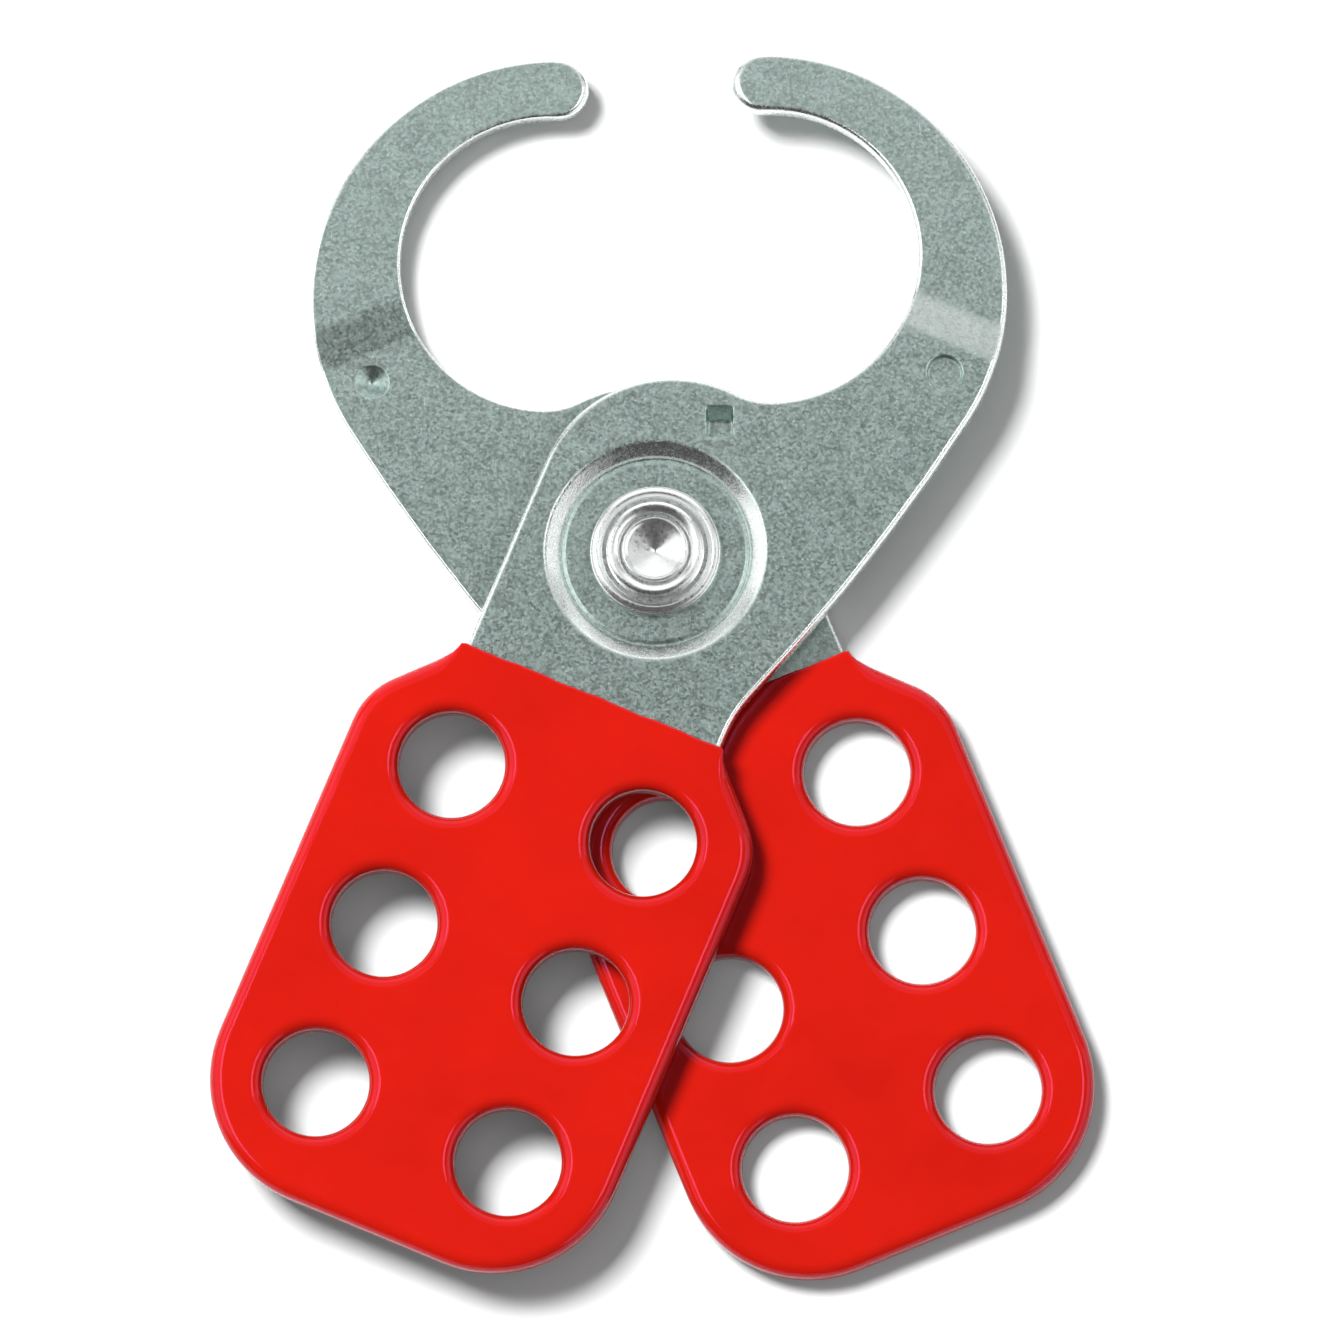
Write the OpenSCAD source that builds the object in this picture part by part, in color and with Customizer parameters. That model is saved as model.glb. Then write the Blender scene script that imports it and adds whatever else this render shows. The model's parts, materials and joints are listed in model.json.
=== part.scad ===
// Lockout hasp: two steel stampings, each a jaw, a hub and a six-hole handle, turn on one rivet.
// Both halves are the same stamping. The back half is the front one turned over about its long axis.
// The handles are dipped in vinyl. The hasp lies on its back, with the origin on the rivet axis at the
// surface that it rests on. Half frame: x across the handle, y along it towards the jaw, z away from
// the plane midway between the two plates.

/* [Opening] */
// Angle of each half from the closed position, at rest
half_angle = 22.4; // [0:0.1:40]

/* [Steel plates] */
// Thickness of the steel
steel_t = 2.4; // [1.5:0.1:3]
// Width of the hub and neck
neck_w = 25.2; // [24:0.1:25.6]
// Distance from the rivet axis to the centre of the hub's round end
hub_y = 3.9; // [3:0.1:5]

/* [Jaw] */
// Width of the closed jaw opening
jaw_w = 25.4; // [24:0.1:26.5]
// How far the inner arc's centre lies beyond the hasp's centreline
jaw_shift = 1.1; // [0.5:0.1:1.5]
// Distance from the rivet axis to the inner arc's centre
jaw_y = 29.6; // [29:0.1:30.5]
// Radius of the jaw's outer arc
jaw_outer_r = 22.6; // [22:0.1:23.5]
// Centre of the jaw's outer arc
jaw_outer_c = [-0.35, 26.2]; // [-1:0.05:27]
// Angle of the jaw's tip about the inner arc's centre
tip_angle = 115.5; // [100:0.5:125]
// Direction in which the outer edge turns into the flank, below the horizontal
flank_start = 10; // [8:1:12]
// Where the flank meets the neck, below the rivet axis
flank_end = 11; // [8:0.1:14]
// Start of the offset bend, above the rivet axis
joggle_start = 28.2; // [24:0.1:30]
// Length of the offset bend
joggle_len = 3.5; // [2:0.1:5]
// Clearance between the two jaws
jaw_gap = 0.3; // [0.2:0.05:0.6]

/* [Rivet dish] */
// Radius of the dish at the plate's face
dish_r = 10.2; // [9:0.1:11.5]
// Radius of the dish's flat floor
dish_floor_r = 8.8; // [7:0.1:9]
// Clearance between the two dish floors
dish_gap = 0.1; // [0.05:0.05:0.3]

/* [Punched marks] */
// Diameter of the round mark punched near the jaw
mark_d = 3.2; // [2:0.1:4]
// Place of the mark
mark_at = [18.2, 25.5]; // [0:0.1:30]
// Depth of the mark in the outer face
mark_depth = 0.6; // [0.3:0.1:0.9]
// Depth of the pointed mark in the inner face
mark_inner_depth = 1.2; // [0.6:0.1:1.3]
// Place of the hub's oblong mark
hub_mark = [0.8, 13.4]; // [-5:0.1:14]
// Width and length of the hub's oblong mark
hub_mark_size = [2.4, 2.9]; // [1.5:0.1:3.5]
// Turn of the hub's oblong mark in its plate
hub_mark_turn = 22.5; // [0:0.5:45]
// Depth of the hub's oblong mark in the outer face
hub_mark_depth = 1.3; // [0.5:0.1:1.8]
// Length over which its far end slopes up
hub_mark_slope = 1.2; // [0:0.1:1.4]

/* [Handle] */
// Width over the vinyl
grip_w = 39.2; // [36:0.1:42]
// Bottom of the handle, below the rivet axis
grip_end = 68; // [66:0.1:72]
// Top edge of the vinyl, below the rivet axis
grip_start = 14.6; // [14:0.1:15.5]
// Radius of the bottom corners
corner_r = 12; // [8:0.5:14]
// Radius of the shoulders
shoulder_r = 7; // [5:0.5:8]
// Centre of the shoulder radius, below the rivet axis
shoulder_y = 24; // [23.5:0.1:25]
// Angle of the shoulder's slope from the handle's long axis
slope_angle = 45; // [42:1:46]
// Thickness of the vinyl
vinyl_t = 0.8; // [0.5:0.05:1.2]
// Clearance between the two handles
grip_gap = 0.4; // [0.3:0.05:0.8]

/* [Padlock holes] */
// Diameter inside the vinyl
hole_d = 9.75; // [9:0.05:10.5]
// Spacing across the handle
hole_dx = 19.05; // [18:0.05:20]
// Spacing along the handle
hole_dy = 15.9; // [15:0.05:16.5]
// First row, below the rivet axis
first_row = 25.5; // [25:0.1:27]

/* [Rivet] */
// Radius of the shank
shank_r = 3.2; // [2.8:0.1:3.6]
// Running clearance around the shank in the front plate
shank_gap = 0.05; // [0.02:0.01:0.09]
// Radius of the solid head at the back
head_r = 6; // [5:0.1:7]
// Radius of the formed head at the front
flange_r = 5.8; // [5.2:0.1:6]
// Thickness of the formed head
flange_t = 0.8; // [0.6:0.1:1]
// Radius of the raised ring on the formed head
ring_r = 4.4; // [4:0.1:4.6]
// Height of the raised ring
ring_h = 0.6; // [0.4:0.1:0.8]
// Radius of the cone pressed into the formed head
cone_r = 3.05; // [2.5:0.05:3.3]
// Radius of the washer under the formed head
washer_r = 6; // [5.8:0.1:6.6]
// Thickness of the washer
washer_t = 0.8; // [0.6:0.1:1]
// Axial play between the washer and the front plate
end_play = 0.05; // [0.02:0.01:0.1]

/* [Hidden] */
$fn = 96;
steel_colour = [0.60, 0.64, 0.62];
rivet_colour = [0.80, 0.81, 0.80];
vinyl_colour = [0.88, 0.09, 0.05];

// Heights in the half frame
plate_z = vinyl_t + grip_gap / 2;       // inner face of the flat plate
dish_z = dish_gap / 2;                  // inner face of the dish's floor
jaw_z = jaw_gap / 2;                    // inner face of the jaw
grip_z = grip_gap / 2;                  // inner face of the vinyl
grip_t = steel_t + 2 * vinyl_t;
dish_depth = plate_z - dish_z;
dish_slope = (dish_r - dish_floor_r) / dish_depth; // growth of the dish's radius with height
// Heights above the surface that the hasp rests on
mid_z = grip_z + grip_t;                // plane midway between the plates
front_floor_z = mid_z + dish_z + steel_t;
back_floor_z = mid_z - dish_z - steel_t;
washer_z = front_floor_z + end_play;
flange_z = washer_z + washer_t;

jaw_r = jaw_w / 2 + jaw_shift;
jaw_c = [-jaw_shift, jaw_y];
past = 60;                              // a length past every edge, for cutting shapes
slack = 1;                              // how far a cutter runs past a face

function polar(r, a) = [r * cos(a), r * sin(a)];

// The end of the jaw's arm: where a ray from the inner arc's centre leaves the outer arc
tip_ray = polar(1, tip_angle);
to_outer = jaw_outer_c - jaw_c;
tip_reach = tip_ray * to_outer + sqrt(jaw_outer_r ^ 2 - to_outer * to_outer + (tip_ray * to_outer) ^ 2);
tip_c = jaw_c + tip_ray * (jaw_r + tip_reach) / 2;
tip_r = (tip_reach - jaw_r) / 2;

// The flank is one arc, tangent to the outer arc where it starts
flank_top = jaw_outer_c + polar(jaw_outer_r, -flank_start);
flank_foot = [neck_w / 2, -flank_end];
flank_chord = flank_foot - flank_top;
flank_turn = atan2(-flank_chord.x, -flank_chord.y) - flank_start;
flank_r = norm(flank_chord) / 2 / sin(flank_turn);
flank_c = flank_top - polar(flank_r, -flank_start);

// Offset bend seen from the side: the strip of metal that the outline is cut from
joggle_end = joggle_start + joggle_len;
bend_z = plate_z - jaw_z;

// Shapes of the plate, each standing on z = 0 and h high

module jaw(h) {
    difference() {
        union() {
            // arm, kept clockwise of the tip
            intersection() {
                translate(jaw_outer_c) cylinder(h = h, r = jaw_outer_r);
                linear_extrude(h)
                    polygon([jaw_c, jaw_c + past * tip_ray, [past, past + jaw_c.y], [past, 0], [0, 0]]);
            }
            // web between the arm and the neck, bounded by the flank
            intersection() {
                translate(flank_c) cylinder(h = h, r = flank_r, $fn = 720);
                translate([0, flank_foot.y, 0]) cube([past, flank_top.y - flank_foot.y, h]);
            }
            translate(tip_c) cylinder(h = h, r = tip_r);
        }
        translate([jaw_c.x, jaw_c.y, -slack]) cylinder(h = h + 2 * slack, r = jaw_r);
    }
}

module hub(h) {
    translate([0, hub_y, 0]) cylinder(h = h, r = neck_w / 2);
    translate([-neck_w / 2, -shoulder_y, 0]) cube([neck_w, shoulder_y + hub_y, h]);
}

// The handle, drawn inside the vinyl's outer edge by an inset
module handle(inset, h) {
    half_w = grip_w / 2;
    shoulder_c = [half_w - shoulder_r, -shoulder_y];
    corner_c = [half_w - corner_r, corner_r - grip_end];
    slope_foot = shoulder_c + polar(shoulder_r - inset, slope_angle);
    slope_top = [slope_foot.x - (-grip_start - slope_foot.y) * tan(slope_angle), -grip_start];
    shoulder = [slope_top, slope_foot, shoulder_c - [0, shoulder_r]];
    linear_extrude(h) polygon(concat(shoulder, [for (i = [2 : -1 : 0]) [-shoulder[i].x, shoulder[i].y]]));
    for (side = [-1, 1]) {
        translate([side * shoulder_c.x, shoulder_c.y, 0]) cylinder(h = h, r = shoulder_r - inset);
        translate([side * corner_c.x, corner_c.y, 0]) cylinder(h = h, r = corner_r - inset);
    }
    translate([inset - half_w, corner_c.y, 0]) cube([grip_w - 2 * inset, shoulder_c.y - corner_c.y, h]);
    translate([-corner_c.x, inset - grip_end, 0]) cube([2 * corner_c.x, 2 * corner_r, h]);
}

// Padlock holes of a given radius, as cutters from z = 0 to h
module padlock_holes(r, h) {
    for (column = [-1, 1], row = [0 : 2])
        translate([column * hole_dx / 2, -first_row - row * hole_dy, 0]) cylinder(h = h, r = r);
}

// Everything within the strip that steps down towards the middle at the jaw
module bent_strip() {
    path = [[-grip_end, 0], [joggle_start, 0], [joggle_end, -bend_z], [past, -bend_z]];
    outer = [for (p = path) [p.x, plate_z + steel_t + p.y]];
    inner = [for (i = [len(path) - 1 : -1 : 0]) [path[i].x, plate_z + path[i].y]];
    translate([-past, 0, 0])
        rotate([90, 0, 90])
            linear_extrude(2 * past) polygon(concat(outer, inner));
}

// The hub's oblong mark about its own middle, its floor at z = 0
module hub_mark_cutter() {
    w = hub_mark_size.x;
    h = hub_mark_size.y;
    wedge = [[-h / 2, 0], [h / 2 - hub_mark_slope, 0], [h / 2, hub_mark_depth], [h / 2, past], [-h / 2, past]];
    translate([-w / 2, 0, 0])
        rotate([90, 0, 90])
            linear_extrude(w) polygon(wedge);
}

module steel_half(bore_r) {
    plate_h = plate_z + steel_t + slack;
    difference() {
        union() {
            intersection() {
                union() {
                    jaw(plate_h);
                    hub(plate_h);
                    handle(vinyl_t, plate_h);
                }
                bent_strip();
            }
            // boss under the dish
            translate([0, 0, dish_z])
                cylinder(h = dish_depth + steel_t / 2, r1 = dish_floor_r - steel_t / 4,
                         r2 = dish_r + dish_slope * steel_t / 2 - steel_t / 4);
        }
        // dish, open to the outer face
        translate([0, 0, dish_z + steel_t])
            cylinder(h = dish_depth + slack, r1 = dish_floor_r, r2 = dish_r + dish_slope * slack);
        cylinder(h = past, r = bore_r);
        padlock_holes(hole_d / 2 + vinyl_t, past);
        // blind mark, flat from the outer face and pointed from the inner one
        translate([mark_at.x, mark_at.y, plate_z + steel_t - mark_depth]) cylinder(h = past, r = mark_d / 2);
        translate([mark_at.x, mark_at.y, plate_z]) cylinder(h = mark_inner_depth, r1 = mark_d / 2, r2 = 0);
        translate([hub_mark.x, hub_mark.y, plate_z + steel_t - hub_mark_depth])
            rotate([0, 0, hub_mark_turn])
                hub_mark_cutter();
    }
}

// The vinyl covers the handle's faces, its edge and the walls of its holes
module grip_half() {
    difference() {
        translate([0, 0, grip_z]) handle(0, grip_t);
        difference() {
            translate([0, 0, plate_z]) {
                handle(vinyl_t, steel_t);
                hub(steel_t);
            }
            padlock_holes(hole_d / 2 + vinyl_t, past);
        }
        padlock_holes(hole_d / 2, past);
    }
}

module in_front() {
    translate([0, 0, mid_z]) rotate([0, 0, -half_angle]) children();
}

module at_back() {
    translate([0, 0, mid_z]) rotate([0, 0, half_angle]) rotate([0, 180, 0]) children();
}

module front_plate() { color(steel_colour) in_front() steel_half(shank_r + shank_gap); }

module back_plate() { color(steel_colour) at_back() steel_half(shank_r); }

module front_grip() { color(vinyl_colour) in_front() grip_half(); }

module back_grip() { color(vinyl_colour) at_back() grip_half(); }

// Points of an arc about a centre, from one angle to another
function arc(c, r, from, to, steps = 8) =
    [for (i = [0 : steps]) c + polar(r, from + (to - from) * i / steps)];

// Solid rivet head at the back, shank, and the head formed over the washer at the front, which has a
// raised ring around a pressed cone
module pivot_rivet() {
    head_edge = back_floor_z / 2;       // the head's rim is a half-round this high
    flange_edge = flange_t / 2;         // so is the formed head's
    flange_top = flange_z + flange_t;
    ring_top = flange_top + ring_h;
    ring_edge = 0.3;                    // radius of the ring's edges
    groove = 0.15;                      // depth and width of the groove around the ring
    cone_h = 1.8;
    color(rivet_colour)
        rotate_extrude()
            polygon(concat(
                [[0, 0]],
                arc([head_r - head_edge, head_edge], head_edge, -90, 90),
                [[shank_r, back_floor_z], [shank_r, flange_z]],
                arc([flange_r - flange_edge, flange_z + flange_edge], flange_edge, -90, 90),
                [[ring_r + 2 * groove, flange_top], [ring_r + groove, flange_top - groove],
                 [ring_r, flange_top - groove]],
                arc([ring_r - ring_edge, ring_top - ring_edge], ring_edge, 0, 90, 4),
                arc([cone_r + ring_edge, ring_top - ring_edge], ring_edge, 90, 150, 4),
                [[0, ring_top - cone_h]]
            ));
}

module rivet_washer() {
    crown = washer_t / 4;               // radius of the washer's outer edges
    color(rivet_colour)
        rotate_extrude()
            polygon(concat(
                [[shank_r, washer_z]],
                arc([washer_r - crown, washer_z + crown], crown, -90, 0, 4),
                arc([washer_r - crown, flange_z - crown], crown, 0, 90, 4),
                [[shank_r, flange_z]]
            ));
}

front_plate();
back_plate();
front_grip();
back_grip();
pivot_rivet();
rivet_washer();
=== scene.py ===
"""Looks for the lockout hasp: two zinc-plated stampings dipped in red vinyl, on one rivet."""

import json
import math

import bpy
import numpy as np
from mathutils import Matrix, Vector
from mathutils.geometry import delaunay_2d_cdt


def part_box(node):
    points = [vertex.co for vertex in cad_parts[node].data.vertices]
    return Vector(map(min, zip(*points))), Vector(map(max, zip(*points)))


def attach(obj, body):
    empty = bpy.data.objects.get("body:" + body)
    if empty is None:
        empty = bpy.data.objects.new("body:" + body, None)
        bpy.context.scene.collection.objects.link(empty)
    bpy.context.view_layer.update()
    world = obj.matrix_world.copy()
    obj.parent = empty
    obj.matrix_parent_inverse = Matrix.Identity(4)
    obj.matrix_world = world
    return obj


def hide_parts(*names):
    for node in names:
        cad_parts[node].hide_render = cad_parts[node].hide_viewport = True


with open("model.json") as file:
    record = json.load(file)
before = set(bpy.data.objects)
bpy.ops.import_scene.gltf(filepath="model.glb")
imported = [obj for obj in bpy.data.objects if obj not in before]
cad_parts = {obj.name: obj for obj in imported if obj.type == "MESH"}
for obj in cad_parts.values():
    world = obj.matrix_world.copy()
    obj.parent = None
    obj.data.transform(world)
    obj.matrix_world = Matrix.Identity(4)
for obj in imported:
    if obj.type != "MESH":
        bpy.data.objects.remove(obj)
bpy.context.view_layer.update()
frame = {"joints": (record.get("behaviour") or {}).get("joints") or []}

# ---------------------------------------------------------------- sizes, in mm
# Half frame: x across the handle, y along it towards the jaw, z away from the plane midway
# between the two plates. The back half is the front one turned over about y.
# The sizes are the frame's, apart from the hollow corners, the rims, the groove and the vinyl's
# thinning, which it doesn't have, and the handle's shoulder, drawn less than 1 mm inside its own.

MM = 0.001


def span(node, axis):
    """Lowest and highest coordinate of a CAD node along an axis, in mm."""
    low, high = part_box(node)
    return low[axis] / MM, high[axis] / MM


BACK_GRIP_Z, FRONT_GRIP_Z = span("back_grip", 2), span("front_grip", 2)
MID_Z = (BACK_GRIP_Z[1] + FRONT_GRIP_Z[0]) / 2
HALF_ANGLE = frame["joints"][0]["range_deg"][1] / 2  # the closed position is twice this away
STEEL_T = 2.4
VINYL_T = (FRONT_GRIP_Z[1] - FRONT_GRIP_Z[0] - STEEL_T) / 2
GRIP_Z = FRONT_GRIP_Z[0] - MID_Z  # inner face of the vinyl
PLATE_Z = GRIP_Z + VINYL_T  # inner face of the flat plate
JAW_Z = 0.15  # inner face of the jaw
DISH_Z = span("front_plate", 2)[0] - MID_Z  # inner face of the dish's floor

NECK_W = 25.2
HUB_C = np.array([0, 3.9])
JAW_C, JAW_R = np.array([-1.1, 29.6]), 13.8
OUTER_C, OUTER_R = np.array([-0.35, 26.2]), 22.6
FLANK_START, FLANK_FOOT_Y, NECK_FOOT_Y = 10, -11, -16.6
FLANK_FILLET, CROTCH_FILLET = 12, 7  # hollow corners: flank to neck, and jaw to hub
TIP_ANGLE = 115.5
JOGGLE = (28.2, 31.7)
DISH_R = (8.8, 10.2)  # at the outer face, floor and rim
BOSS_R = (8.2, 9.6)  # at the inner face
# fine groove at the foot of the dish's slope: inner wall, then outer wall
GROOVE_R, GROOVE_DEPTH = (8.3, 8.6, 8.72, 8.95), 0.12
BORE_R, BORE_RIM = 3.25, (0.15, 0.1)  # the rim is rounded at the outer and at the inner face
EDGE_RIM, COINED_RIM = (0.45, 0.25), (0.9, 0.65)  # along the outline, and at the arm's coined end
HIDDEN_RIM = (0.2, 0.2)  # at the padlock holes, under the vinyl
# round mark near the jaw, flat from the outer face and pointed from the inner one
MARK_C, MARK_R, MARK_DEPTH, MARK_INNER_DEPTH = (18.2, 25.5), 1.6, 0.6, 1.2
# oblong mark on the hub, its far end sloping up
KEY_C, KEY_SIZE, KEY_TURN, KEY_DEPTH, KEY_SLOPE = (0.8, 13.4), (2.4, 2.9), 22.5, 1.3, 1.2

GRIP_W, GRIP_END, MOUTH_Y = 39.2, 68, -14.6
VINYL_RIM, MOUTH_RIM, HOLE_RIM = 1.35, 0.25, 1.3  # how far the vinyl's edges are rounded
MOUTH_THINNING = 0.25  # how much thinner each skin is at the mouth
CORNER_R, SHOULDER_R, SHOULDER_Y, SHOULDER_TURN = 12, 7, -25, 42
HOLE_R, HOLE_DX, HOLE_DY, FIRST_ROW = 4.875, 19.05, 15.9, 25.5


# ---------------------------------------------------------------- outlines


def polar(r, degrees):
    a = math.radians(degrees)
    return np.array([r * math.cos(a), r * math.sin(a)])


def heading(centre, point):
    """Direction of a point from a centre, in degrees."""
    return math.degrees(math.atan2(point[1] - centre[1], point[0] - centre[0]))


def arc(centre, r, start, stop):
    steps = max(3, int(abs(stop - start) / 2))
    turns = [start + (stop - start) * i / steps for i in range(steps + 1)]
    return [np.array(centre) + polar(r, turn) for turn in turns]


def mirrored(points):
    """The same run of points on the other side, in reverse order."""
    return [np.array([-p[0], p[1]]) for p in reversed(points)]


def even(points, spacing, soften=0.0):
    """A closed outline with evenly spaced points, its corners softened over a length."""
    fine = 0.1
    p = np.array(points, float)
    p = np.vstack([p, p[:1]])
    run = np.concatenate([[0], np.cumsum(np.linalg.norm(np.diff(p, axis=0), axis=1))])
    count = int(run[-1] / fine)
    at = np.arange(count) * run[-1] / count
    q = np.stack([np.interp(at, run, p[:, k]) for k in (0, 1)], 1)
    if soften:
        reach = int(3 * soften / fine)
        weights = np.exp(-0.5 * (np.arange(-reach, reach + 1) * fine / soften) ** 2)
        weights /= weights.sum()
        padded = np.vstack([q[-reach:], q, q[:reach]])
        q = np.stack([np.convolve(padded[:, k], weights, "valid") for k in (0, 1)], 1)
    keep = np.linspace(0, count, int(run[-1] / spacing), endpoint=False).astype(int)
    return q[keep]


def circle(centre, r, steps):
    """A hole's outline, clockwise, so that the material lies to its left."""
    return np.array([np.array(centre) + polar(r, -360 * i / steps) for i in range(steps)])


def steel_outline():
    """The stamping's outline, counter-clockwise from the end of the handle, and the middle of the
    arm's round end."""
    half = NECK_W / 2
    flank_top = OUTER_C + polar(OUTER_R, -FLANK_START)
    chord = np.array([half, FLANK_FOOT_Y]) - flank_top
    turn = math.degrees(math.atan2(-chord[0], -chord[1])) - FLANK_START
    flank_r = np.linalg.norm(chord) / 2 / math.sin(math.radians(turn))
    flank_c = flank_top - polar(flank_r, -FLANK_START)
    # hollow corner between the flank and the neck
    foot_x = half + FLANK_FILLET
    foot_y = flank_c[1] - math.sqrt((flank_r + FLANK_FILLET) ** 2 - (foot_x - flank_c[0]) ** 2)
    foot_c = np.array([foot_x, foot_y])
    foot_dir = heading(foot_c, flank_c)
    # end of the arm, a half circle between the inner and outer arcs
    ray = polar(1, TIP_ANGLE)
    away = OUTER_C - JAW_C
    reach = ray @ away + math.sqrt(OUTER_R**2 - away @ away + (ray @ away) ** 2)
    tip_c, tip_r = JAW_C + ray * (JAW_R + reach) / 2, (reach - JAW_R) / 2
    tip_edge = JAW_C + ray * reach
    # hollow corner between the jaw's inner arc and the hub
    crotch = CROTCH_FILLET
    between = np.linalg.norm(JAW_C - HUB_C)
    up = (JAW_C - HUB_C) / between
    along = ((half + crotch) ** 2 - (JAW_R - crotch) ** 2 + between**2) / 2 / between
    aside = math.sqrt((half + crotch) ** 2 - along**2)
    crotch_c = HUB_C + up * along + np.array([up[1], -up[0]]) * aside

    handle = [
        *arc((GRIP_W / 2 - CORNER_R, CORNER_R - GRIP_END), CORNER_R - VINYL_T, -90, 0),
        *arc((GRIP_W / 2 - SHOULDER_R, SHOULDER_Y), SHOULDER_R - VINYL_T, 0, SHOULDER_TURN),
        np.array([half, NECK_FOOT_Y]),
    ]
    return even(
        [
            *handle,
            *arc(foot_c, FLANK_FILLET, 180, foot_dir),
            *arc(flank_c, flank_r, heading(flank_c, foot_c), -FLANK_START),
            *arc(OUTER_C, OUTER_R, -FLANK_START, heading(OUTER_C, tip_edge)),
            *arc(tip_c, tip_r, TIP_ANGLE, TIP_ANGLE + 180),
            *arc(JAW_C, JAW_R, TIP_ANGLE, heading(JAW_C, crotch_c)),
            *arc(crotch_c, crotch, heading(JAW_C, crotch_c), heading(crotch_c, HUB_C)),
            *arc(HUB_C, half, heading(HUB_C, crotch_c), 180),
            *mirrored(handle),
        ],
        0.55,
        soften=0.3,
    ), tip_c


def vinyl_outline():
    """The vinyl's outline, counter-clockwise. Its top edge, the dip line, wavers a little."""
    half = NECK_W / 2 + 0.5
    side = [
        *arc((GRIP_W / 2 - CORNER_R, CORNER_R - GRIP_END), CORNER_R, -90, 0),
        *arc((GRIP_W / 2 - SHOULDER_R, SHOULDER_Y), SHOULDER_R, 0, SHOULDER_TURN),
        # the skin draws in to the neck just below the mouth
        np.array([half + 0.45, MOUTH_Y - 1.3]),
        np.array([half + 0.05, MOUTH_Y - 0.7]),
        np.array([half, MOUTH_Y]),
    ]
    line = [
        np.array([x, MOUTH_Y - 0.06 + 0.05 * math.sin(0.9 * x + 1) + 0.03 * math.sin(2.3 * x)])
        for x in np.arange(half - 1, 1 - half, -0.4)
    ]
    return even([*side, *line, *mirrored(side)], 0.6, soften=0.28)


def padlock_holes(r, steps):
    return [
        circle((side * HOLE_DX / 2, -FIRST_ROW - row * HOLE_DY), r, steps)
        for side in (-1, 1)
        for row in range(3)
    ]


# ---------------------------------------------------------------- plates with rounded edges


def ramp(s, start, stop, soft):
    """0 before start, 1 after stop and straight between, its corners rounded over a length."""

    def area(t):
        inside = np.clip(t - start, 0, stop - start)
        return inside**2 / 2 / (stop - start) + np.maximum(t - stop, 0)

    return (area(s + soft / 2) - area(s - soft / 2)) / soft


def band(s, start, stop, soft):
    """0 outside two edges, each a (start, stop) pair, and 1 between them."""
    return ramp(s, *start, soft) - ramp(s, *stop, soft)


def left_of(loop):
    """Unit normals to the left of a closed outline, which is where the material lies."""
    run = np.roll(loop, -1, 0) - np.roll(loop, 1, 0)
    run /= np.linalg.norm(run, axis=1)[:, None]
    return np.stack([-run[:, 1], run[:, 0]], 1)


def inside(points, loops):
    """Which points lie inside an odd number of the loops."""
    count = np.zeros(len(points), int)
    for loop in loops:
        a, b = loop, np.roll(loop, -1, 0)
        x, y = points[:, :1], points[:, 1:]
        spans = (a[:, 1] > y) != (b[:, 1] > y)
        with np.errstate(divide="ignore", invalid="ignore"):
            cross = a[:, 0] + (y - a[:, 1]) * (b[:, 0] - a[:, 0]) / (b[:, 1] - a[:, 1])
        count += (spans & (x < cross)).sum(1)
    return count % 2 == 1


def clear_of(points, others, distance):
    """The points that are at least a distance from all the others."""
    if not len(points):
        return points
    gaps = np.stack([np.hypot(*(points - other).T) for other in others]).min(0)
    return points[gaps > distance]


def face_points(loops, features, spacing):
    """Points inside a face: the features' own, then a triangular lattice."""
    edge = np.vstack(loops)
    features = features[inside(features, loops)] if len(features) else np.zeros((0, 2))
    features = clear_of(features, edge, 0.3)
    (x0, y0), (x1, y1) = edge.min(0), edge.max(0)
    lattice = np.array([
        [x, y]
        for k, y in enumerate(np.arange(y0, y1, spacing * 0.866))
        for x in np.arange(x0 + spacing / 2 * (k % 2), x1, spacing)
    ])
    lattice = lattice[inside(lattice, loops)]
    return np.vstack([features, clear_of(lattice, np.vstack([edge, features]), spacing * 0.6)])


def triangles(loops, extra):
    """Triangles over the area inside the loops, as indices into loops and then extra."""
    points = np.vstack([*loops, extra])
    edges, first = [], 0
    for loop in loops:
        n = len(loop)
        edges += [(first + i, first + (i + 1) % n) for i in range(n)]
        first += n
    made = delaunay_2d_cdt([Vector(p) for p in points], edges, [], 0, 1e-7)
    source = [ids[0] for ids in made[3]]
    found = np.array([[source[i] for i in f] for f in made[2]])
    return found[inside(points[found].mean(1), loops)]


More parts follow.
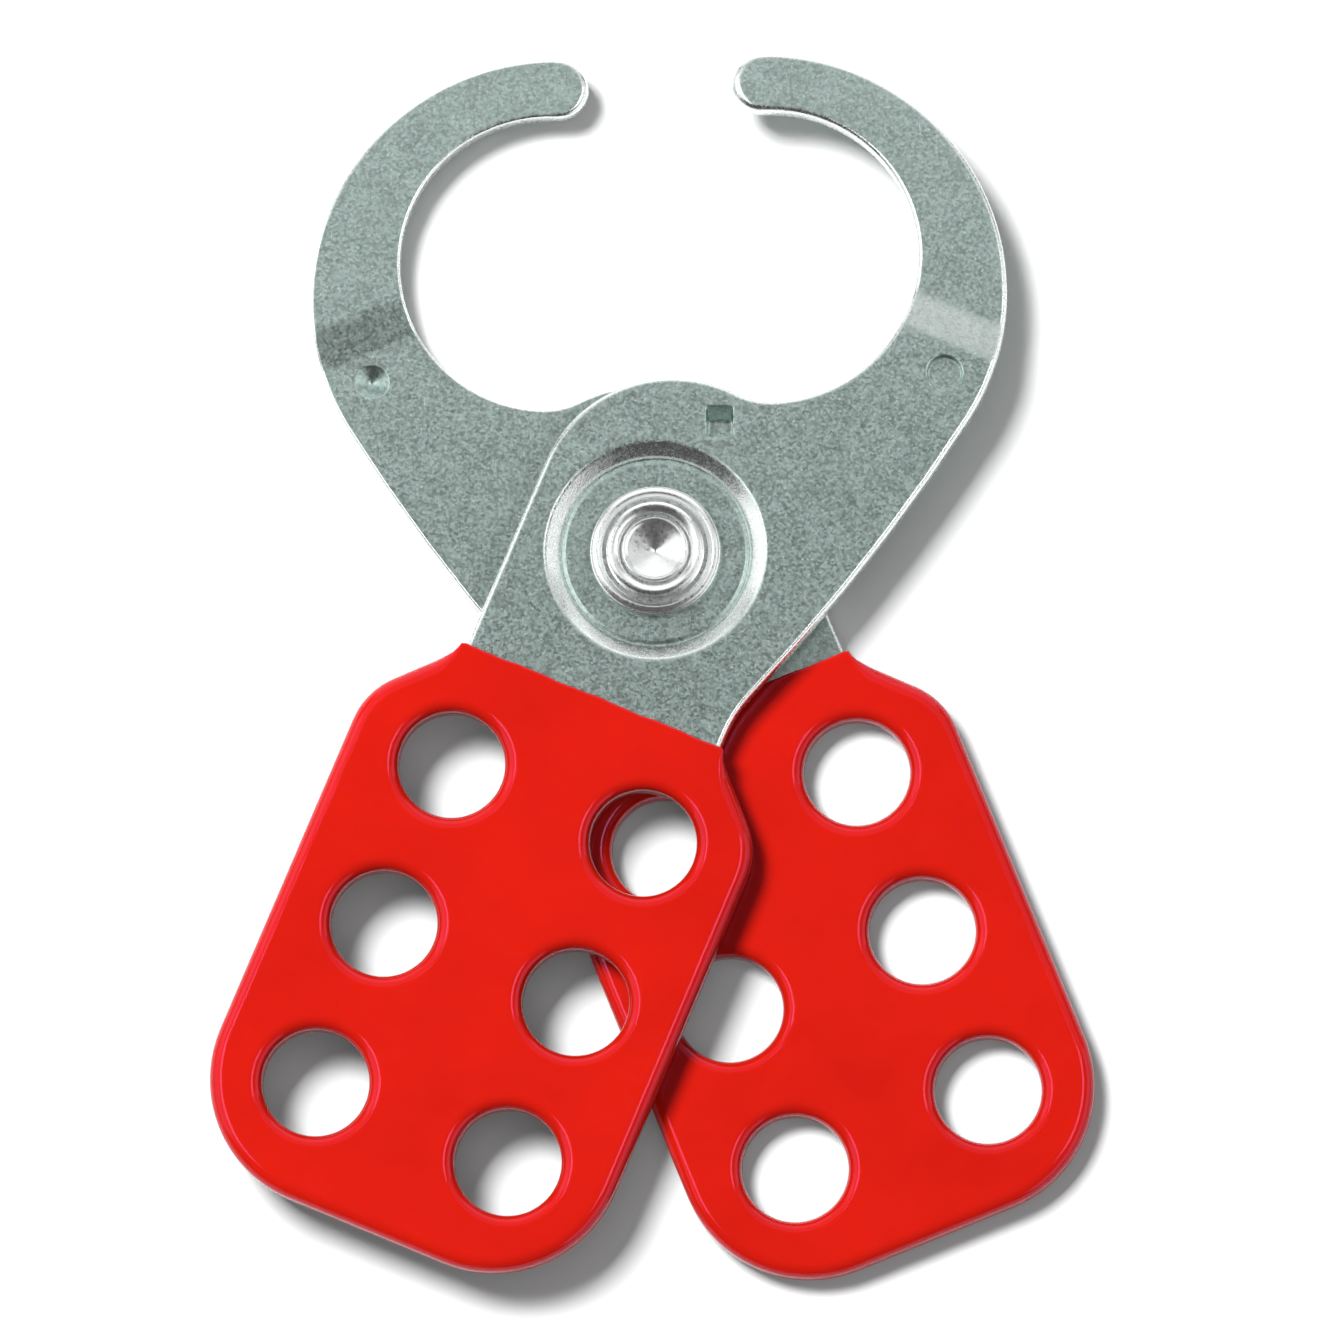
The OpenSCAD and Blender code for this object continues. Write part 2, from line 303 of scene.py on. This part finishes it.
def slab(loops, rims, top, bottom, features, spacing, segments):
    """Vertices, faces and an edge mark of a plate between bottom(p) and top(p).
    Each loop has its rim: the rounding radius at the top and at the bottom, one for all its points
    or one each. The edge mark is 1 on the rounded edges, where the zinc is painted brighter:
    partly wear, partly a painted highlight."""
    guard = 0.15  # a narrow flat ring, so that the rounding doesn't shade the face
    turns = np.radians(np.linspace(0, 90, segments + 1))
    vertices, edge_wear_and_highlight, faces, brims = [], [], [], {"top": [], "bottom": []}
    total = 0
    for loop, rim in zip(loops, rims):
        normal, n = left_of(loop), len(loop)
        top_r, bottom_r = (np.broadcast_to(np.array(r, float), n)[:, None] for r in rim)
        rings = []
        for a in turns[::-1]:
            p = loop + normal * bottom_r * (1 - math.cos(a))
            rings.append((p, bottom(p) + bottom_r[:, 0] * (1 - math.sin(a)), a < 1.5))
        for a in turns:
            p = loop + normal * top_r * (1 - math.cos(a))
            rings.append((p, top(p) - top_r[:, 0] * (1 - math.sin(a)), a < 1.5))
        low, high = loop + normal * (bottom_r + guard), loop + normal * (top_r + guard)
        rings = [(low, bottom(low), False), *rings, (high, top(high), False)]
        for p, z, worn in rings:
            vertices.append(np.column_stack([p, z]))
            edge_wear_and_highlight.append(np.full(n, float(worn)))
        for k in range(len(rings) - 1):
            a, b = total + k * n, total + (k + 1) * n
            faces += [(a + i, a + (i + 1) % n, b + (i + 1) % n, b + i) for i in range(n)]
        brims["bottom"].append((low, total))
        brims["top"].append((high, total + (len(rings) - 1) * n))
        total += len(rings) * n
    for side, height in (("bottom", bottom), ("top", top)):
        edge = [p for p, _ in brims[side]]
        index = np.concatenate([first + np.arange(len(p)) for p, first in brims[side]])
        extra = face_points(edge, features, spacing)
        index = np.concatenate([index, total + np.arange(len(extra))])
        vertices.append(np.column_stack([extra, height(extra)]))
        edge_wear_and_highlight.append(np.zeros(len(extra)))
        found = index[triangles(edge, extra)]
        if side == "bottom":
            found = found[:, ::-1]
        faces += [tuple(int(i) for i in f) for f in found]
        total += len(extra)
    return np.vstack(vertices), faces, np.concatenate(edge_wear_and_highlight)


def make(name, vertices, faces, edge_wear_and_highlight=None):
    """An object from vertices in mm, smooth-shaded all over."""
    mesh = bpy.data.meshes.new(name)
    mesh.from_pydata([tuple(v) for v in np.array(vertices) * MM], [], faces)
    if edge_wear_and_highlight is not None:
        values = mesh.attributes.new("edge_wear_and_highlight", "FLOAT", "POINT").data
        values.foreach_set("value", edge_wear_and_highlight.astype(np.float32))
    mesh.validate()
    mesh.polygons.foreach_set("use_smooth", [True] * len(mesh.polygons))
    made = bpy.data.objects.new(name, mesh)
    bpy.context.scene.collection.objects.link(made)
    return made


# ---------------------------------------------------------------- the stamping


def steel_drop(p):
    """How far the jaw lies below the flat plate, at each point."""
    return (PLATE_Z - JAW_Z) * ramp(p[:, 1], *JOGGLE, 0.5)


def punched(outside):
    """1 on a punched mark's floor and 0 around it, at points so far outside it."""
    return 1 - ramp(outside, -0.07, 0.03, 0.1)


KEY_AXES = np.array([polar(1, KEY_TURN), polar(1, KEY_TURN + 90)])


def mark_top(p):
    """Depth of the two marks in the outer face."""
    outside = np.hypot(*(p - MARK_C).T) - MARK_R
    own = (p - KEY_C) @ KEY_AXES.T
    corner, half = 0.25, np.array(KEY_SIZE) / 2
    beyond = np.abs(own) - (half - corner)
    oblong = np.hypot(*np.maximum(beyond, 0).T) + np.minimum(beyond.max(1), 0) - corner
    slope = 1 - ramp(own[:, 1], half[1] - KEY_SLOPE, half[1] + 0.01, 0.15)
    return MARK_DEPTH * punched(outside) + KEY_DEPTH * punched(oblong) * slope


def mark_bottom(p):
    """Depth of the pointed mark in the inner face."""
    return MARK_INNER_DEPTH * (1 - ramp(np.hypot(*(p - MARK_C).T), 0, MARK_R, 0.12))


def steel_top(p):
    r = np.hypot(*p.T)
    dish = (PLATE_Z - DISH_Z) * (1 - ramp(r, *DISH_R, 0.3))
    groove = GROOVE_DEPTH * band(r, GROOVE_R[:2], GROOVE_R[2:], 0.12)
    return PLATE_Z + STEEL_T - dish - groove - steel_drop(p) - mark_top(p)


def steel_bottom(p):
    boss = (PLATE_Z - DISH_Z) * (1 - ramp(np.hypot(*p.T), *BOSS_R, 0.4))
    return PLATE_Z - boss - steel_drop(p) + mark_bottom(p)


def steel_features():
    """Rings of points across the dish's slope and the marks' walls, and lines of them across the
    offset bend."""
    dish_radii = (6.6, 7.4, 7.8, *np.arange(8.1, 9.1, 0.08), *np.arange(9.2, 10.6, 0.15))
    mark_radii = (0.3, 0.7, 1.1, 1.35, *np.arange(1.47, 1.7, 0.03), 1.8, 2.0)
    rings = [circle((0, 0), r, 96) for r in dish_radii]
    rings += [circle(MARK_C, r, 44) for r in mark_radii]
    for out in (-0.9, -0.6, -0.4, -0.25, *np.arange(-0.13, 0.1, 0.03), 0.2, 0.4):
        w, h = np.array(KEY_SIZE) / 2 + out
        corners = np.array([[-w, -h], [-w, h], [w, h], [w, -h]])
        rings.append(even(corners @ KEY_AXES + KEY_C, 0.18, soften=max(0.05, 0.13 + out / 2)))
    rows = [
        np.column_stack([np.arange(-30, 30, 0.8), np.full(75, y)])
        for y in np.arange(JOGGLE[0] - 0.45, JOGGLE[1] + 0.5, 0.15)
    ]
    return np.vstack(rings + rows)


def painted_highlight(vertices):
    """Painted highlight: how much each vertex is painted brighter, on the outer face's drawn
    slopes.
    """
    p = vertices[:, :2]
    outer_face = vertices[:, 2] > steel_bottom(p) + STEEL_T / 2
    rim_r, (low_y, high_y) = DISH_R[1], JOGGLE
    on_dish = band(np.hypot(*p.T), (8.7, 8.95), (rim_r - 0.2, rim_r + 0.15), 0.1)
    on_bend = band(p[:, 1], (low_y - 0.4, low_y + 0.6), (high_y - 0.6, high_y + 0.4), 0.3)
    return np.where(outer_face, np.maximum(on_dish, 0.5 * on_bend), 0)


def stamping():
    outline, tip_c = steel_outline()
    # the arm's end is coined to a softer edge than the rest
    from_end = np.linalg.norm(outline - tip_c - polar(2.2, TIP_ANGLE + 90), axis=1)
    near = np.clip(1.4 - from_end / 3.2, 0, 1)
    coined = near * near * (3 - 2 * near)
    edge = [plain + (end - plain) * coined for plain, end in zip(EDGE_RIM, COINED_RIM)]
    bore = circle((0, 0), BORE_R, 64)
    loops = [outline, bore, *padlock_holes(HOLE_R + VINYL_T, 72)]
    rims = [edge, BORE_RIM] + [HIDDEN_RIM] * 6
    vertices, faces, edge_wear_and_highlight = slab(loops, rims, steel_top, steel_bottom, steel_features(), 1.5, 5)
    # the drawn slopes join the rounded edges in the mark that paints the zinc brighter: a painted
    # highlight
    return vertices, faces, np.maximum(edge_wear_and_highlight, painted_highlight(vertices))


# ---------------------------------------------------------------- the vinyl


def vinyl_thinning(p):
    """The dip thins towards the line where it ends on the neck."""
    return MOUTH_THINNING * ramp(p[:, 1], MOUTH_Y - 6.5, MOUTH_Y - 0.5, 2.0)


def vinyl_top(p):
    return PLATE_Z + STEEL_T + VINYL_T - vinyl_thinning(p)


def vinyl_bottom(p):
    return GRIP_Z + vinyl_thinning(p)


def vinyl():
    outline = vinyl_outline()
    mouth = ramp(outline[:, 1], MOUTH_Y - 2.4, MOUTH_Y - 0.7, 0.6)
    rim = VINYL_RIM - (VINYL_RIM - MOUTH_RIM) * mouth
    loops = [outline, *padlock_holes(HOLE_R, 96)]
    rims = [(rim, rim)] + [(HOLE_RIM, HOLE_RIM)] * 6
    rows = [
        np.column_stack([np.arange(-13, 13, 0.8), np.full(33, y)])
        for y in np.arange(MOUTH_Y - 2.8, MOUTH_Y - 0.5, 0.3)
    ]
    return slab(loops, rims, vinyl_top, vinyl_bottom, np.vstack(rows), 1.8, 8)


def hollow_out(shell, core):
    """Cuts the core's shape out of the shell, which then wraps it."""
    cut = shell.modifiers.new("core", "BOOLEAN")
    cut.operation, cut.solver, cut.object = "DIFFERENCE", "EXACT", core
    depsgraph = bpy.context.evaluated_depsgraph_get()
    shell.data = bpy.data.meshes.new_from_object(shell.evaluated_get(depsgraph))
    shell.modifiers.clear()


# ---------------------------------------------------------------- halves in place

HALF_TURN = math.radians(HALF_ANGLE)
LIFT = Matrix.Translation((0, 0, MID_Z * MM))
IN_FRONT = LIFT @ Matrix.Rotation(-HALF_TURN, 4, "Z")
TURN_OVER = Matrix.Rotation(math.pi, 4, "Y")
AT_BACK = LIFT @ Matrix.Rotation(HALF_TURN, 4, "Z") @ TURN_OVER


def put(source, name, matrix, body, node, slot, material):
    """A copy of a half's piece, in its place and riding on its body."""
    mesh = source.data.copy()
    mesh.transform(matrix)
    mesh.set_sharp_from_angle(angle=math.radians(50))
    piece = bpy.data.objects.new(name, mesh)
    bpy.context.scene.collection.objects.link(piece)
    mesh.materials.clear()
    mesh.materials.append(material)
    piece.visible_diffuse = slot != "vinyl"  # the backdrop stays neutral, with no red glow
    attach(piece, body)
    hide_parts(node)


# ---------------------------------------------------------------- turned pieces


def turned(name, profile, steps=144):
    """A piece turned about the rivet's axis from (radius, height) points that run from the axis
    at the bottom to the axis at the top, or round a closed section if none lies on the axis."""
    vertices, rings = [], []
    for r, z in profile:
        if r < 1e-6:
            rings.append([len(vertices)])
            vertices.append((0, 0, z))
        else:
            rings.append([len(vertices) + i for i in range(steps)])
            vertices += [(*polar(r, 360 * i / steps), z) for i in range(steps)]
    if len(rings[0]) > 1:
        rings.append(rings[0])
    faces = []
    for a, b in zip(rings, rings[1:]):
        for i in range(steps):
            j = (i + 1) % steps
            quad = [a[i % len(a)], a[j % len(a)], b[j % len(b)], b[i % len(b)]]
            faces.append(tuple(dict.fromkeys(quad)))
    return make(name, vertices, faces)


def bend(centre, r, start, stop, steps=6):
    """Points of a rounded edge in a profile."""
    turns = [start + (stop - start) * i / steps for i in range(steps + 1)]
    return [tuple(np.array(centre) + polar(r, turn)) for turn in turns]


def rivet():
    top = span("pivot_rivet", 2)[1]
    seat = span("rivet_washer", 2)[1]  # the formed head stands on the washer
    back = MID_Z - DISH_Z - STEEL_T  # and the solid head on the dish's floor
    rim = back / 2
    profile = [
        # back head, flat where the hasp lies on it, and shank
        (0, 0),
        (4.6, 0),
        *bend((6 - rim, rim), rim, -90, 90, 10),
        (3.3, back),
        (3.2, back + 0.1),
        (3.2, seat - 0.1),
        (3.3, seat),
        # outer bead
        (5.6, seat),
        *bend((5.62, seat + 0.24), 0.24, -80, 60, 7),
        *bend((5.38, seat + 0.42), 0.2, 62, 118, 4),
        (4.98, seat + 0.36),
        # groove
        (4.88, seat + 0.12),
        (4.5, seat + 0.12),
        # raised ring
        (4.42, seat + 0.5),
        *bend((4.22, top - 0.3), 0.16, 10, 60, 4),
        *bend((4.02, top - 0.2), 0.2, 66, 118, 4),
        (3.5, top - 0.26),
        (3.4, top - 0.4),
        # ledge
        (3.32, top - 0.95),
        (3.1, top - 0.95),
        # thin ring and the cone inside it
        *bend((2.85, top - 0.74), 0.22, 20, 140, 7),
        (2.6, top - 0.68),
        *[(r, top - 0.72 - (2.55 - r) * 0.5) for r in np.linspace(2.45, 0.3, 8)],
        (0.12, top - 1.9),
        (0, top - 1.92),
    ]
    return turned("rivet", profile)


def washer():
    low, high = span("rivet_washer", 2)
    r = span("rivet_washer", 0)[1]
    edge = 0.12
    profile = [
        (BORE_R, low),
        *bend((r - edge, low + edge), edge, -90, 0, 5),
        *bend((r - edge, high - edge), edge, 0, 90, 5),
        (BORE_R, high),
    ]
    return turned("washer", profile)


# ---------------------------------------------------------------- materials


class Nodes:
    """A material's nodes, all measured in the piece's own coordinates."""

    def __init__(self, name):
        self.material = bpy.data.materials.new(name)
        self.material.use_nodes = True
        self.tree = self.material.node_tree
        self.shader = self.tree.nodes["Principled BSDF"]
        self.place = self.add("ShaderNodeTexCoord").outputs["Object"]

    def add(self, kind, **inputs):
        node = self.tree.nodes.new(kind)
        for key, value in inputs.items():
            self.set(node.inputs[key.replace("_", " ")], value)
        return node

    def set(self, socket, value):
        if isinstance(value, bpy.types.NodeSocket):
            self.tree.links.new(value, socket)
        else:
            socket.default_value = value

    def noise(self, grain, detail, stretch=None):
        """Noise with features about grain mm across."""
        place = self.place
        if stretch:
            place = self.add("ShaderNodeMapping", Vector=place, Scale=stretch).outputs["Vector"]
        node = self.add("ShaderNodeTexNoise", Vector=place, Scale=1 / (grain * MM), Detail=detail)
        return node.outputs["Fac"]

    def cells(self, grain):
        """A random grey for each grain, about grain mm across."""
        node = self.add("ShaderNodeTexVoronoi", Vector=self.place, Scale=1 / (grain * MM))
        return self.add("ShaderNodeSeparateColor", Color=node.outputs["Color"]).outputs["Red"]

    def spread(self, value, low, high, start=0.0, stop=1.0):
        """value from start to stop, spread over low to high."""
        ends = {"From_Min": start, "From_Max": stop, "To_Min": low, "To_Max": high}
        return self.add("ShaderNodeMapRange", Value=value, **ends).outputs["Result"]

    def math(self, operation, a, b):
        node = self.add("ShaderNodeMath")
        node.operation = operation
        self.set(node.inputs[0], a)
        self.set(node.inputs[1], b)
        return node.outputs["Value"]

    def mix(self, fac, a, b):
        node = self.add("ShaderNodeMix")
        node.data_type = "RGBA"
        self.set(node.inputs[0], fac)
        self.set(node.inputs[6], a)
        self.set(node.inputs[7], b)
        return node.outputs[2]

    def attribute(self, name):
        node = self.add("ShaderNodeAttribute")
        node.attribute_name = name
        return node.outputs["Fac"]

    def bump(self, height, depth, under=None):
        """Bump whose full height is depth mm."""
        node = self.add("ShaderNodeBump", Height=height, Distance=depth * MM)
        node.inputs["Strength"].default_value = 1.0
        if under is not None:
            self.set(node.inputs["Normal"], under)
        return node.outputs["Normal"]


def zinc(name, dull, bright, worn, roughness):
    """Zinc plate: fine crystals of slightly different greys, cloudy patches, a few stray bright
    flecks and scratches, and the rounded edges and drawn slopes painted brighter: some wear on the
    edges, and a painted highlight there and on the dish's slope and the offset bend."""
    n = Nodes(name)
    crystals = n.cells(0.22)
    cloud = n.noise(3.5, 3)
    fleck = n.spread(n.noise(0.35, 1), 0, 1, 0.70, 0.76)
    scratch = n.spread(n.noise(0.5, 2, stretch=(3, 0.22, 1)), 0, 1, 0.72, 0.78)
    tone = n.math("ADD", n.math("MULTIPLY", crystals, 0.6), n.math("MULTIPLY", cloud, 0.5))
    tone = n.math("ADD", tone, n.math("MULTIPLY", n.noise(0.45, 2), 0.9))
    colour = n.mix(n.spread(tone, 0, 1, 0.65, 1.4), dull, bright)
    marks = n.math("MAXIMUM", fleck, scratch)
    colour = n.mix(n.math("MULTIPLY", marks, 0.5), colour, worn)
    # painted highlight, with some real wear on the edges: the edge and slope mark pulls the colour
    # towards the bright grey
    colour = n.mix(n.math("MULTIPLY", n.attribute("edge_wear_and_highlight"), 0.7), colour, worn)
    n.set(n.shader.inputs["Base Color"], colour)
    n.shader.inputs["Metallic"].default_value = 1.0
    rough = n.math("ADD", crystals, n.noise(1.2, 3))
    rough = n.spread(rough, roughness - 0.07, roughness + 0.09, 0.3, 1.6)
    rough = n.math("SUBTRACT", rough, n.math("MULTIPLY", n.attribute("edge_wear_and_highlight"), 0.12))
    n.set(n.shader.inputs["Roughness"], rough)
    n.set(n.shader.inputs["Normal"], n.bump(n.noise(0.16, 3), 0.012, n.bump(crystals, 0.004)))
    return n.material


def bright_steel(name, colour, worn, roughness):
    """The rivet's steel, burnished round its axis by the forming tool."""
    n = Nodes(name)
    parts = n.add("ShaderNodeSeparateXYZ", Vector=n.place)
    x, y = parts.outputs["X"], parts.outputs["Y"]
    radius = n.math("SQRT", n.math("ADD", n.math("MULTIPLY", x, x), n.math("MULTIPLY", y, y)), 0.0)
    rings = n.add("ShaderNodeTexNoise", Scale=1 / (0.12 * MM), Detail=2.0)
    rings.noise_dimensions = "1D"
    n.set(rings.inputs["W"], radius)
    turned_marks = rings.outputs["Fac"]
    speck = n.noise(0.3, 3)
    n.set(n.shader.inputs["Base Color"], n.mix(n.spread(speck, 0, 1, 0.3, 0.7), colour, worn))
    n.shader.inputs["Metallic"].default_value = 1.0
    rough = n.spread(speck, roughness - 0.05, roughness + 0.08, 0.3, 0.7)
    n.set(n.shader.inputs["Roughness"], rough)
    n.set(n.shader.inputs["Normal"], n.bump(n.noise(0.4, 2), 0.0005, n.bump(turned_marks, 0.001)))
    return n.material


def dipped_vinyl(name, colour, deep):
    """Glossy dip: a smooth skin that waves a little, with faint uneven colour and dull spots."""
    n = Nodes(name)
    cloud = n.noise(9, 3)
    n.set(n.shader.inputs["Base Color"], n.mix(n.spread(cloud, 0, 1, 0.35, 0.75), colour, deep))
    n.set(n.shader.inputs["Roughness"], n.spread(n.noise(1.1, 4), 0.09, 0.16, 0.3, 0.7))
    grain = n.bump(n.noise(0.3, 2), 0.0015)
    n.set(n.shader.inputs["Normal"], n.bump(n.noise(2.6, 2), 0.02, grain))
    n.shader.inputs["Specular Tint"].default_value = (1.0, 0.28, 0.62, 1)
    n.shader.inputs["IOR"].default_value = 1.5
    return n.material


# ---------------------------------------------------------------- building

DULL_ZINC, BRIGHT_ZINC = (0.37, 0.465, 0.435, 1), (0.57, 0.70, 0.66, 1)
# bright grey of the flecks and scratches, and of the painted highlight on the edges and drawn
# slopes
WORN_AND_HIGHLIGHT_ZINC = (0.95, 0.97, 0.96, 1)
plate_zinc = zinc("plate_zinc", DULL_ZINC, BRIGHT_ZINC, WORN_AND_HIGHLIGHT_ZINC, 0.36)
rivet_steel = bright_steel("rivet_steel", (0.84, 0.87, 0.86, 1), (0.94, 0.96, 0.95, 1), 0.30)
red_vinyl = dipped_vinyl("red_vinyl", (0.62, 0.011, 0.003, 1), (0.55, 0.009, 0.003, 1))

plate_shape = make("plate_shape", *stamping())
vinyl_shape = make("vinyl_shape", *vinyl())
hollow_out(vinyl_shape, plate_shape)

for side, place in (("front", IN_FRONT), ("back", AT_BACK)):
    body = side + "_half"
    put(plate_shape, side + "_stamping", place, body, side + "_plate", "plate_steel", plate_zinc)
    put(vinyl_shape, side + "_vinyl", place, body, side + "_grip", "vinyl", red_vinyl)
for shape in (plate_shape, vinyl_shape):
    bpy.data.objects.remove(shape)

for piece, node in ((rivet(), "pivot_rivet"), (washer(), "rivet_washer")):
    piece.data.set_sharp_from_angle(angle=math.radians(50))
    piece.data.materials.append(rivet_steel)
    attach(piece, "back_half")
    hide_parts(node)


# ---------------------------------------------------------------- floor, light and camera


def white_floor():
    mesh = bpy.data.meshes.new("floor")
    half = 3.0
    corners = [(-half, -half, 0), (half, -half, 0), (half, half, 0), (-half, half, 0)]
    mesh.from_pydata(corners, [], [(0, 1, 2, 3)])
    floor = bpy.data.objects.new("floor", mesh)
    floor.location.z = -0.0001
    bpy.context.scene.collection.objects.link(floor)
    n = Nodes("floor_white")
    tone = n.spread(n.noise(60, 2), 0.0, 1.0, 0.3, 0.7)
    n.set(n.shader.inputs["Base Color"], n.mix(tone, (0.90, 0.90, 0.90, 1), (0.92, 0.92, 0.92, 1)))
    n.shader.inputs["Roughness"].default_value = 0.9
    n.shader.inputs["Specular IOR Level"].default_value = 0.1
    mesh.materials.append(n.material)


def softbox(name, direction, distance, size, radiance, lights=True, mirrored_in=True):
    """A rectangular light that faces the hasp from a direction. It lights matt surfaces and casts
    shadows, is mirrored in the steel and vinyl, or both."""
    data = bpy.data.lights.new(name, "AREA")
    data.shape, data.size, data.size_y = "RECTANGLE", *size
    data.energy = radiance * math.pi * size[0] * size[1]
    lamp = bpy.data.objects.new(name, data)
    back = Vector(direction).normalized()
    lamp.location = back * distance
    lamp.rotation_euler = back.to_track_quat("Z", "Y").to_euler()
    lamp.visible_diffuse, lamp.visible_glossy = lights, mirrored_in
    lamp.visible_camera = False
    bpy.context.scene.collection.objects.link(lamp)


def studio():
    softbox("key", (-0.33, 0.26, 0.86), 1.2, (0.36, 0.36), 45, mirrored_in=False)
    softbox("fill", (0.25, -0.2, 1.0), 1.2, (1.6, 1.6), 0.5, mirrored_in=False)
    softbox("back", (0.0, 1.0, 0.29), 1.2, (2.0, 0.67), 1.3, lights=False)
    softbox("left", (-1.0, 0.1, 0.55), 1.1, (1.0, 0.8), 1.3, lights=False)
    softbox("right", (1.0, -0.3, 0.34), 1.1, (1.7, 0.5), 1.5, lights=False)
    softbox("left_high", (-1.0, 0.0, 1.8), 1.1, (0.55, 0.24), 5.0, lights=False)
    softbox("right_high", (1.0, 0.0, 1.8), 1.1, (0.55, 0.24), 5.0, lights=False)
    softbox("overhead", (0.0, 0.62, 0.78), 0.29, (1.0, 0.23), 0.64, lights=False)
    world = bpy.data.worlds.new("studio")
    world.use_nodes = True
    world.node_tree.nodes["Background"].inputs["Color"].default_value = (1.0, 0.94, 0.98, 1)
    world.node_tree.nodes["Background"].inputs["Strength"].default_value = 0.08
    bpy.context.scene.world = world
    bpy.context.scene.view_settings.view_transform = "Standard"


def camera():
    """A metre away, some ten degrees off the vertical towards the handles."""
    distance = 1.0
    about_y, about_x = -0.040, -0.180  # the camera's turns, in radians
    aim_right, aim_up = 0.00015, -0.00879  # what it looks at, from the rivet's foot
    right, up, back = Matrix.Rotation(about_y, 3, "Y") @ Matrix.Rotation(about_x, 3, "X")
    eye = back * distance
    z = (eye - right * aim_right - up * aim_up).normalized()
    x = up.cross(z).normalized()
    turn = Matrix((x, z.cross(x), z)).transposed().to_4x4()
    data = bpy.data.cameras.new("camera")
    data.sensor_width, data.lens = 36, 294.6
    data.clip_start, data.clip_end = 0.01, 20
    made = bpy.data.objects.new("camera", data)
    made.matrix_world = Matrix.Translation(eye) @ turn
    bpy.context.scene.collection.objects.link(made)
    bpy.context.scene.camera = made


white_floor()
studio()
camera()
